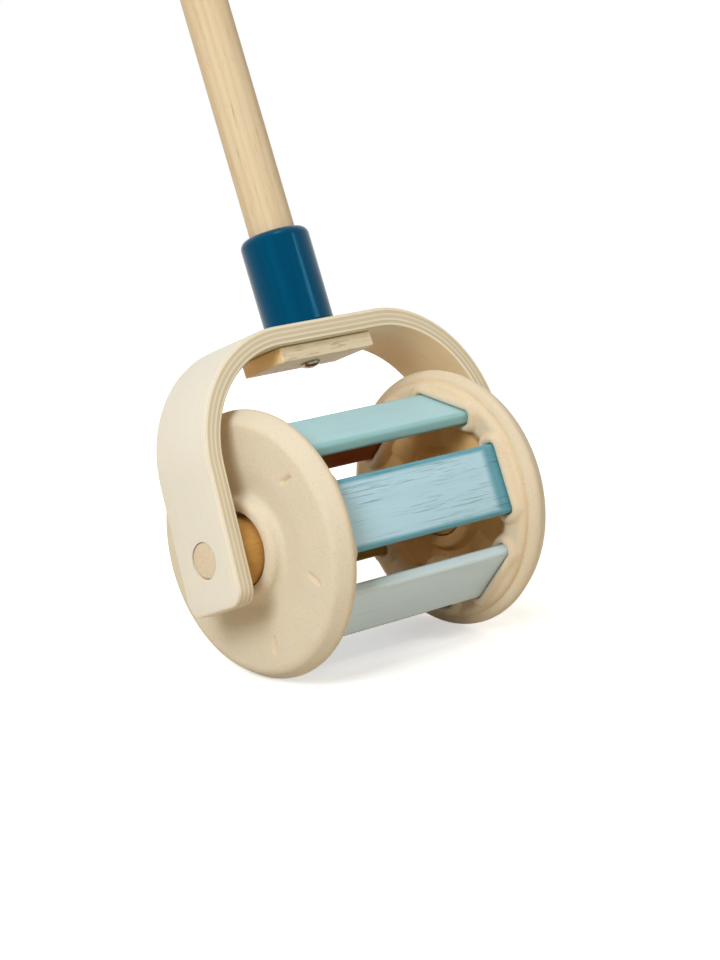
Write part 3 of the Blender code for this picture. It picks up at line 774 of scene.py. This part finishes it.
class PUSHTOY_OT_discs(PieceOperator):
    """Mould both discs with soft lips round their slots and short dents on their outside"""
    bl_idname = "push_toy.discs"
    bl_label = "Pressed Discs"

    def profile(self):
        """Half section of a disc from the bore round the outside and back: (radius, height, side).

        side is 1 on the outer face, -1 where the inner face carries lips and 0 elsewhere.
        """
        sizes = self.sizes
        bore = COLLAR_RADIUS + AXLE_DROP + sizes.running_gap
        boss = bore + sizes.boss_wall
        outer = BOSS_FACE - sizes.boss_height
        floor = INNER_FACE + sizes.recess_depth
        inner_boss = bore + sizes.inner_boss_wall
        inner_top = floor - sizes.inner_boss_rise
        face_edge = DISC_RADIUS - sizes.face_margin
        step = DISC_RADIUS - sizes.step_margin
        step_foot = INNER_FACE + sizes.step_height
        ring = sizes.step_round
        bowl = step - ring - sizes.recess_radius
        slope = degrees(sizes.rim_slope)
        crown = sizes.boss_crown
        mouth = 0.0007
        soft = 0.0018
        lean = 14
        crowned = arc((boss - crown, BOSS_FACE - crown), crown, 90, lean, 9)
        radius, height = crowned[-1]
        fillet = (height - outer + sizes.valley) / (1 - sin(radians(lean)))
        radius += fillet * cos(radians(lean))
        height += fillet * sin(radians(lean))
        filled = arc((radius, height), fillet, 180 + lean, 270, 9)[1:]
        foot = filled[-1][0]
        valley_part = 0.4
        face = []
        for part in np.linspace(0, 1, 25)[1:-1]:
            sink = sizes.valley * (1 - smooth(min(1.0, part / valley_part)))
            face.append((foot + (face_edge - foot) * part, outer - sink))
        hollowed = []
        for part in np.linspace(0, 1, 40)[1:]:
            fall = max(0.0, part * bowl - sizes.recess_margin) / (bowl - sizes.recess_margin)
            sink = sizes.recess_depth * smooth(fall)
            hollowed.append((step - ring - bowl * part, INNER_FACE + sink))
        runs = (
            (0, [(bore, inner_top), (bore, BOSS_FACE - mouth)]),
            (1, arc((bore + mouth, BOSS_FACE - mouth), mouth, 180, 90, 4)),
            (1, crowned + filled + face),
            (0, arc((face_edge, outer - sizes.rim_round), sizes.rim_round, 90, slope, 9)),
            (0, arc((step, step_foot + ring), sizes.step_margin, slope, -86, 12, ring)),
            (-1, arc((step - ring, INNER_FACE + ring), ring, -4, -90, 9) + hollowed),
            (0, [(inner_boss + soft, floor)]),
            (0, arc((inner_boss - soft, inner_top + soft), soft, 0, -90, 6)))
        return [(*place, side) for side, places in runs for place in places]

    def slot_distance(self, across, up):
        """Distance from each point to the nearest slot's outline, below zero inside it."""
        nearest = np.full(across.shape, 1.0)
        round_off = self.sizes.slat_round + FIT_GAP
        for index in range(SLAT_COUNT):
            side, out = facing(index * SLAT_STEP, across, up)
            past_side = np.abs(side) - (SLAT_WIDTH / 2 + FIT_GAP - round_off)
            past_out = np.abs(out - SLAT_MIDDLE) - (SLAT_THICKNESS / 2 + FIT_GAP - round_off)
            outside = np.hypot(np.maximum(past_side, 0), np.maximum(past_out, 0))
            inside = np.minimum(np.maximum(past_side, past_out), 0)
            nearest = np.minimum(nearest, outside + inside - round_off)
        return nearest

    def lips(self, along, across, up):
        """Heights of the inner face with a soft lip round each slot that rolls over into it."""
        sizes = self.sizes
        gap = np.maximum(self.slot_distance(across, up), 0.0)
        near = 1 - ramp(gap - sizes.lip_roll, sizes.lip_reach - sizes.lip_roll) ** 2
        sunk = along + sizes.lip_sink * (1 - ramp(along - INNER_FACE, sizes.recess_depth))
        lifted = sunk + (INNER_FACE - sizes.lip_height - sunk) * near
        inward = 1 - ramp(gap, sizes.lip_roll)
        return lifted + sizes.lip_roll * (1 - np.sqrt(1 - inward ** 2))

    def dents(self, across, up):
        """Sink of the outer face in six short slanting dashes between the slats."""
        half_run = 0.0022
        half_width = 0.0012
        slant = 0.35
        sink = np.zeros(across.shape)
        for index in range(SLAT_COUNT):
            side, out = facing((index + 0.5) * SLAT_STEP, across, up)
            out = out - self.sizes.dent_radius
            reach = np.hypot(np.maximum(np.abs(out) - half_run, 0), side + slant * out)
            sink += (1 - ramp(reach, half_width)) ** 0.8
        return self.sizes.dent_depth * sink

    def hollow_shade_amounts(self, points):
        """Painted shade of each place of a disc: some over the inner face, more in bowl, slots, creases, step and
        dents.
        """
        sizes = self.sizes
        wall_depth, wall_fade = 0.0006, 0.003
        bowl_edge, bowl_fade = 0.0475, 0.004
        floor_edge, floor_fade = 0.040, 0.005
        lips_edge = 0.0505
        inside_depth = 0.0085
        # Strengths of the painted shade on the inner face, in the creases, on the step and in the dents.
        face_shade, crease_shade, step_shade, dent_shade = 0.12, 0.22, 0.18, 0.30
        crease_width, step_width = 0.0013, 0.0010
        along, across, up = points.T
        depth = np.abs(along) - INNER_FACE
        radius = np.hypot(across, up)
        gap = self.slot_distance(across, up)
        bowl = ramp(depth - wall_depth, wall_fade) * ramp(bowl_edge - radius, bowl_fade)
        bowl = np.maximum(bowl, ramp(floor_edge - radius, floor_fade))
        crease = crease_shade * np.exp(-((gap - sizes.lip_reach) / crease_width) ** 2)
        step = step_shade * np.exp(-((radius - DISC_RADIUS + sizes.step_margin) / step_width) ** 2)
        face = face_shade + np.where(radius < lips_edge, crease, step)
        inside = np.maximum(np.maximum(bowl, face), gap < 0)
        dents = dent_shade * self.dents(across, up) / sizes.dent_depth
        outside = np.where(radius < DISC_RADIUS - sizes.face_margin, dents, 0.0)
        return np.where(depth < inside_depth, inside, outside)

    def execute(self, context):
        rows = self.profile()
        sides = 360
        points, faces = turned([row[:2] for row in rows], sides, "X")
        along, across, up = points.T
        face_side = np.repeat([row[2] for row in rows], sides)
        points[:, 0] = np.where(face_side < 0, self.lips(along, across, up), along)
        points[:, 0] -= np.where(face_side > 0, self.dents(across, up), 0.0)
        slot_mouth = INNER_FACE - 0.004
        finish = pressed_finish(self.colours)
        section = rounded_outline(SLAT_WIDTH + 2 * FIT_GAP, SLAT_THICKNESS + 2 * FIT_GAP,
                                  self.sizes.slat_round + FIT_GAP, 4)
        for node, side in (("right_disc", 1), ("left_disc", -1)):
            disc = solid(node + "_moulding", points * (side, 1, 1), faces)
            ends = sorted((side * slot_mouth, side * (SLAT_END + FIT_GAP)))
            corners = []
            walls = []
            for index in range(SLAT_COUNT):
                more, skin = slat_shape(section, index, ends)
                walls += [tuple(corner + len(corners) for corner in wall) for wall in skin]
                corners += more
            cut(disc, solid("slots", corners, walls))
            # The painted shade of each point, kept on the disc for its finish.
            tone = disc.data.attributes.new("hollow", "FLOAT", "POINT")
            tone.data.foreach_set("value", self.hollow_shade_amounts(toy_points(disc.data)).astype(np.float32))
            dress(disc, node, "drum", finish)
        return {"FINISHED"}


def slat_shape(section, index, ends):
    """Points and faces of a prism along the axle in the place of one slat."""
    turn = index * SLAT_STEP
    ring = [((SLAT_MIDDLE + out) * sin(turn) + side * cos(turn),
             (SLAT_MIDDLE + out) * cos(turn) - side * sin(turn)) for side, out in section]
    return lofted([[(along, *place) for place in ring] for along in ends])


def slat_grain(index):
    """Turns points of one slat into places along it, across it and out from its middle."""
    def grain(points):
        along, across, up = points.T
        side, out = facing(index * SLAT_STEP, across, up)
        return np.column_stack((along, side, out - SLAT_MIDDLE))
    return grain


class PUSHTOY_OT_slats(PieceOperator):
    """Set the six painted slats between the discs"""
    bl_idname = "push_toy.slats"
    bl_label = "Painted Slats"

    def execute(self, context):
        colours = self.colours
        section = rounded_outline(SLAT_WIDTH, SLAT_THICKNESS, self.sizes.slat_round, 6)
        # Each slat: face colour with painted sheen, shaded edge colour, and the strength of its open grain and
        # painted end shade.
        slats = (("slat_sky_blue", colours.sky_blue, colours.sky_blue_shaded_edge, 1.0),
                 ("slat_teal", colours.teal, colours.teal_shaded_edge, 0.04),
                 ("slat_rust", colours.rust, colours.rust, 0.2),
                 ("slat_ochre", colours.ochre, colours.ochre, 0.2),
                 ("slat_deep_blue", colours.navy, colours.navy, 0.3),
                 ("slat_grey", colours.grey, colours.grey_shaded_edge, 0.04))
        for index, (node, colour, edge, open_grain_and_end_shade) in enumerate(slats):
            slat = solid(node + "_bar", *slat_shape(section, index, (-SLAT_END, SLAT_END)))
            finish = paint_finish(node + "_paint", colour, edge, open_grain_and_end_shade, index)
            dress(slat, node, "drum", finish, slat_grain(index))
        return {"FINISHED"}


class PUSHTOY_OT_stick(PieceOperator):
    """Turn the stick, its neck sleeve and its knob"""
    bl_idname = "push_toy.stick"
    bl_label = "Stick, Sleeve and Knob"

    def execute(self, context):
        colours = self.colours
        foot, top = STICK_LOW[1], STICK_HIGH[1]
        chamfer = 0.001
        arris = 0.0006
        mouth = 0.0004
        heights = np.linspace(foot + 0.01, top - chamfer, 12)
        profile = [(0.0, foot), (STICK_RADIUS, foot)]
        profile += [(STICK_RADIUS, height) for height in heights]
        profile += [(STICK_RADIUS - chamfer, top), (0.0, top)]
        stick = solid("stick_dowel", *turned(profile, 72, "Y"))
        wood = wood_finish("stick_wood", colours.stick, colours.stick_dark, 1, 0.0034, 0.4)
        dress(stick, "stick", "frame", wood)

        paint = gloss_finish("deep_blue_gloss", colours.deep_blue)
        low, high = SLEEVE_LOW[1], SLEEVE_HIGH[1]
        rounding = self.sizes.sleeve_round
        bore = STICK_RADIUS + FIT_GAP
        profile = [(bore, low), (bore, high - mouth)]
        profile += arc((SLEEVE_RADIUS - rounding, high - rounding), rounding, 88, 0, 12)
        profile += [(SLEEVE_RADIUS, low + arris), (SLEEVE_RADIUS - arris, low)]
        sleeve = solid("sleeve_turning", *turned(profile, 96, "Y"))
        dress(sleeve, "neck_sleeve", "frame", paint)

        middle = KNOB_HIGH[1] - KNOB_RADIUS
        seat = KNOB_LOW[1] - middle
        start = degrees(asin(seat / KNOB_RADIUS))
        profile = [(0.0, top + FIT_GAP), (bore, top + FIT_GAP), (bore, middle + seat + mouth)]
        profile += arc((0.0, middle), KNOB_RADIUS, start, 90, 40)[:-1]
        profile += [(0.0, middle + KNOB_RADIUS)]
        knob = solid("knob_turning", *turned(profile, 72, "Y"))
        dress(knob, "handle_knob", "frame", paint)
        return {"FINISHED"}


class PUSHTOY_OT_clamp(PieceOperator):
    """Screw the clamp block up under the bridge"""
    bl_idname = "push_toy.clamp"
    bl_label = "Clamp Block and Screw"

    def execute(self, context):
        colours = self.colours
        size = BLOCK_HIGH - BLOCK_LOW
        middle = (BLOCK_HIGH + BLOCK_LOW) / 2
        edge = 0.0005
        sections = []
        for end, inset in ((-1, edge), (-1, 0.0), (1, 0.0), (1, edge)):
            along = end * (size[0] / 2 - (edge - inset))
            section = rounded_outline(size[1] - 2 * inset, size[2] - 2 * inset, edge, 3)
            sections.append([middle + (along, up, across) for up, across in section])
        block = solid("clamp_block_bar", *lofted(sections))
        # The sawn ends take a warmer end-grain tone that is partly painted shade.
        wood = wood_finish("block_wood", colours.block, colours.block_dark, 0, 0.0024, 0.4,
                           (0.0, 0.105, 0.012), 0.6, (size[0] / 2, colours.block_end_grain_and_shade))
        dress(block, "clamp_block", "frame", wood)

        head = SCREW_HIGH[0]
        seat = BLOCK_LOW[1] - FIT_GAP
        under, tip = SCREW_LOW[1], SCREW_HIGH[1]
        shank = 0.0020
        point = 0.001
        rim = seat - 0.0006
        profile = [(0.0, under)] + arc((0.0, rim), head, -84, 0, 12, rim - under)
        profile += [(head, seat), (shank, seat), (shank, tip - point), (shank / 2, tip), (0.0, tip)]
        screw = solid("screw_turning", *turned(profile, 64, "Y"))
        slot_half, slot_depth, slot_reach = 0.0005, 0.0012, 0.0021
        for lengthwise in (0, 2):
            wide, _, deep = drawn_out(slot_half, slot_reach, lengthwise)
            ends = [[(x * wide, height, z * deep) for x, z in SQUARE]
                    for height in (under - slot_depth, under + slot_depth)]
            cut(screw, solid("drive_slot", *lofted(ends)))
        nickel = metal_finish("nickel", colours.nickel, 0.14)
        dress(screw, "clamp_screw", "frame", nickel)

        insert = frame["nodes"]["threaded_insert"]
        insert.data.materials.clear()
        insert.data.materials.append(metal_finish("turned_brass", colours.brass, 0.35))
        return {"FINISHED"}


class PUSHTOY_OT_axle(PieceOperator):
    """Put the axle dowel through the legs, with a collar on each side"""
    bl_idname = "push_toy.axle"
    bl_label = "Axle and Collars"

    def execute(self, context):
        colours = self.colours
        half = AXLE_HIGH[0]
        soft = 0.0006
        profile = [(0.0, -half)] + arc((AXLE_RADIUS - soft, -half + soft), soft, -90, 0, 4)
        profile += arc((AXLE_RADIUS - soft, half - soft), soft, 0, 90, 4) + [(0.0, half)]
        ring = 0.003
        pith = (0.0, 0.012, -0.009)
        wood = wood_finish("axle_wood", colours.axle, colours.axle_dark, 0, ring, 0.3, pith)
        # The collars' darker finish is painted shade.
        collar_shade_finish = wood_finish("collar_shade_wood", colours.collar, colours.collar_shade_dark, 0, ring, 0.4, pith)
        axle = solid("axle_turning", *turned(profile, 72, "X", AXLE_PLACE))
        dress(axle, "axle_dowel", "frame", wood)
        bore = AXLE_RADIUS + FIT_GAP
        low, high = COLLAR_LOW[0], COLLAR_HIGH[0]
        profile = [(bore, low), (bore, high)]
        profile += arc((COLLAR_RADIUS - soft, high - soft), soft, 90, 0, 4)
        profile += arc((COLLAR_RADIUS - soft, low + soft), soft, 0, -90, 4)
        points, faces = turned(profile, 96, "X", AXLE_PLACE)
        for node, side in (("right_collar", 1), ("left_collar", -1)):
            collar = solid(node + "_turning", points * (side, 1, 1), faces)
            dress(collar, node, "frame", collar_shade_finish)
        return {"FINISHED"}


class PUSHTOY_OT_ball(PieceOperator):
    """Drop the loose wooden ball into the roller"""
    bl_idname = "push_toy.ball"
    bl_label = "Loose Ball"

    def execute(self, context):
        colours = self.colours
        middle = (BALL_LOW + BALL_HIGH) / 2
        cap = 80
        top = BALL_RADIUS * sin(radians(cap))
        profile = [(0.0, -top)] + arc((0.0, 0.0), BALL_RADIUS, -cap, cap, 28) + [(0.0, top)]
        ball = solid("ball_turning", *turned(profile, 56, "X", middle))
        pith = (0.0, 0.006, 0.004)
        wood = wood_finish("ball_wood", colours.ball, colours.collar, 0, 0.0022, 0.3, pith)
        dress(ball, "rattle_ball", "ball", wood, lambda places: places - middle)
        return {"FINISHED"}


class PUSHTOY_OT_stage(PieceOperator):
    """Lay the floor, set the lights and stand the camera where the photograph was taken"""
    bl_idname = "push_toy.stage"
    bl_label = "Stage"

    def lamp(self, name, power, size, place, mirrored=True):
        """A rectangular light of a width and height that faces the toy; gloss may leave it out."""
        light = bpy.data.lights.new(name, "AREA")
        light.energy = power
        light.color = self.colours.lamp
        light.shape = "RECTANGLE"
        light.size, light.size_y = size
        made = bpy.data.objects.new(name, light)
        made.location = place
        aim = TOY @ Vector(LIT_PLACE) - Vector(place)
        made.rotation_euler = aim.to_track_quat("-Z", "Y").to_euler()
        made.visible_glossy = mirrored
        bpy.context.scene.collection.objects.link(made)

    def execute(self, context):
        scene = context.scene
        stage = scene.push_toy_stage
        colours = self.colours
        reach = 12.0
        clearance = 0.0002
        corners = [(x * reach, y * reach, 0.0) for x, y in SQUARE]
        mesh = bpy.data.meshes.new("floor")
        mesh.from_pydata(corners, [], [(0, 1, 2, 3)])
        floor = bpy.data.objects.new("floor", mesh)
        floor.location.z = -clearance
        mesh.materials.append(floor_finish(colours.floor, colours.bounce, stage.floor_glow))
        scene.collection.objects.link(floor)

        world = bpy.data.worlds.new("studio")
        world.use_nodes = True
        room = Nodes(world.node_tree)
        glow = (*colours.ambient, 1.0)
        even = room.add("Background", inputs={"Color": glow, "Strength": stage.ambient})
        white = room.add("Background", inputs={"Color": WHITE, "Strength": 1.0})
        seen = room.add("MixShader", inputs={0: room.looked_at(), 1: even, 2: white})
        room.show(seen, "World Output")
        scene.world = world

        self.lamp("key_light", stage.key_power, (0.60, 0.60), (-1.31, -0.60, 0.94), mirrored=False)
        self.lamp("right_light", stage.right_power, (0.13, 0.42), (0.56, -0.98, 0.72))
        self.lamp("top_light", stage.top_power, (0.6, 0.6), (-0.20, -0.10, 1.70))
        self.lamp("back_light", stage.back_power, (0.8, 0.8), (0.95, 1.15, 0.60), mirrored=False)

        camera = bpy.data.cameras.new("camera")
        camera.sensor_width = 36.0
        camera.lens = camera.sensor_width * stage.focal_pixels / PHOTO_HEIGHT
        camera.clip_end = 50.0
        holder = bpy.data.objects.new("camera", camera)
        right = Vector(stage.camera_right).normalized()
        back = Vector(stage.camera_back).normalized()
        holder.matrix_world = axes_frame(stage.camera_place, right, back.cross(right), back)
        scene.collection.objects.link(holder)
        scene.camera = holder
        scene.view_settings.view_transform = "Standard"
        return {"FINISHED"}


class PUSHTOY_PT_pieces(Panel):
    """Buttons for the toy's pieces and their settings"""
    bl_label = "Push Toy"
    bl_idname = "PUSHTOY_PT_pieces"
    bl_space_type = "VIEW_3D"
    bl_region_type = "UI"
    bl_category = "Push Toy"

    def draw(self, context):
        for step in STEPS:
            self.layout.operator(step.bl_idname)
        for settings in SETTINGS:
            group = getattr(context.scene, settings)
            box = self.layout.box()
            for name in group.bl_rna.properties.keys():
                if name not in ("name", "rna_type"):
                    box.prop(group, name)


STEPS = (PUSHTOY_OT_fork, PUSHTOY_OT_discs, PUSHTOY_OT_slats, PUSHTOY_OT_stick, PUSHTOY_OT_clamp,
         PUSHTOY_OT_axle, PUSHTOY_OT_ball, PUSHTOY_OT_stage)
SETTINGS = {"push_toy_sizes": PushToySizes, "push_toy_colours": PushToyColours,
            "push_toy_stage": PushToyStage}


def register():
    for group in (*SETTINGS.values(), *STEPS, PUSHTOY_PT_pieces):
        bpy.utils.register_class(group)
    for name, group in SETTINGS.items():
        setattr(bpy.types.Scene, name, PointerProperty(type=group))


def unregister():
    for name in SETTINGS:
        delattr(bpy.types.Scene, name)
    for group in reversed((*SETTINGS.values(), *STEPS, PUSHTOY_PT_pieces)):
        bpy.utils.unregister_class(group)


def main():
    register()
    for step in STEPS:
        family, action = step.bl_idname.split(".")
        getattr(getattr(bpy.ops, family), action)()


if __name__ == "__main__":
    main()
